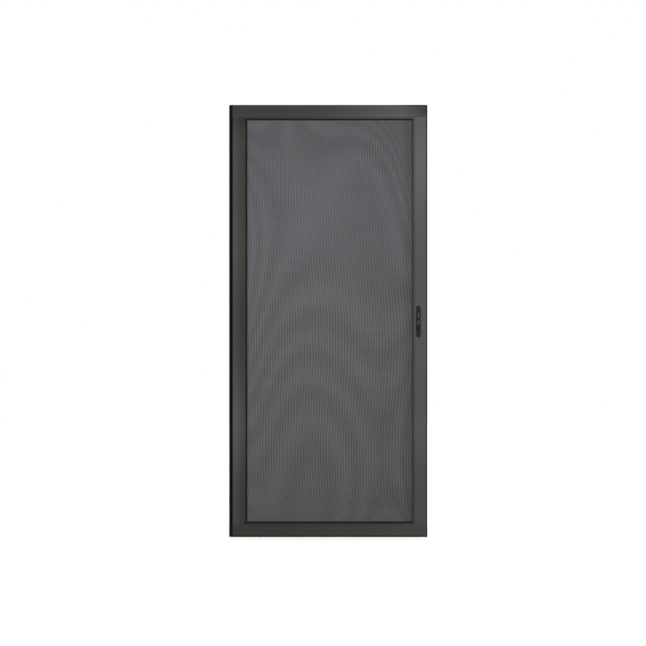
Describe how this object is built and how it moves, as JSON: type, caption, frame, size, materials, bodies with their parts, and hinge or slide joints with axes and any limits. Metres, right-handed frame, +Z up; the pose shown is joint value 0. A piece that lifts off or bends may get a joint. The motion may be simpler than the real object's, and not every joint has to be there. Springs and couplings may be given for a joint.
{
  "type": "sliding patio screen door",
  "caption": "Sliding insect-screen panel of a patio door: a slim dark aluminium frame with rollers, a taut screen, a pull on each face, a hook latch and a pile seal.",
  "frame": {"origin": "middle of the flat underside of the bottom rail", "axes": "+X from the trailing stile to the lock stile, +Y from the outdoor face to the indoor face, +Z up"},
  "size_m": [0.9325, 0.058, 2.034],
  "materials": {
    "bronze_aluminium": "dark bronze anodised, satin",
    "screen_cloth": "charcoal vinyl-coated glass-fibre weave",
    "black_spline": "extruded vinyl, matt",
    "black_moulding": "moulded, fine texture",
    "grey_vinyl": "extruded, satin",
    "pile": "cut pile",
    "roller_nylon": "moulded, satin",
    "plated_steel": "bright zinc plated",
    "black_diecast": "black powder coat, fine texture"
  },
  "bodies": {
    "door": {"lock_stile": "bronze_aluminium", "trailing_stile": "bronze_aluminium", "top_rail": "bronze_aluminium", "bottom_rail": "bronze_aluminium", "insect_screen": "screen_cloth", "spline_lock_side": "black_spline", "spline_trailing_side": "black_spline", "spline_top": "black_spline", "spline_bottom": "black_spline", "seal_carrier": "grey_vinyl", "seal_pile": "pile", "pull_outdoor": "black_diecast", "pull_indoor": "black_diecast", "hook_pivot": "plated_steel", "latch_case": "plated_steel", "latch_faceplate": "plated_steel", "top_end_cap": "black_moulding", "top_corner_guard": "black_moulding", "bottom_end_cap": "black_moulding", "bottom_corner_guard": "black_moulding", "top_lock_side_roller": "roller_nylon", "top_lock_side_roller_housing": "black_moulding", "top_trailing_side_roller": "roller_nylon", "top_trailing_side_roller_housing": "black_moulding", "bottom_lock_side_roller": "roller_nylon", "bottom_lock_side_roller_housing": "black_moulding", "bottom_trailing_side_roller": "roller_nylon", "bottom_trailing_side_roller_housing": "black_moulding"},
    "slide": {"latch_slide": "plated_steel", "thumb_outdoor": "black_diecast", "thumb_indoor": "black_diecast"},
    "hook": {"latch_hook": "plated_steel"}
  },
  "joints": [
    {"name": "thumb_slide", "type": "slide", "parent": "door", "child": "slide", "axis": [0, 0, 1], "range_m": [0, 0.014]},
    {"name": "hook_swing", "type": "hinge", "parent": "door", "child": "hook", "pos_m": [0.4455, 0, 0.975], "axis": [0, 1, 0], "range_deg": [0, 90]}
  ],
  "couplings": [
    {"joint": "hook_swing", "follows": "thumb_slide", "rad_per_m": 112.19}
  ]
}
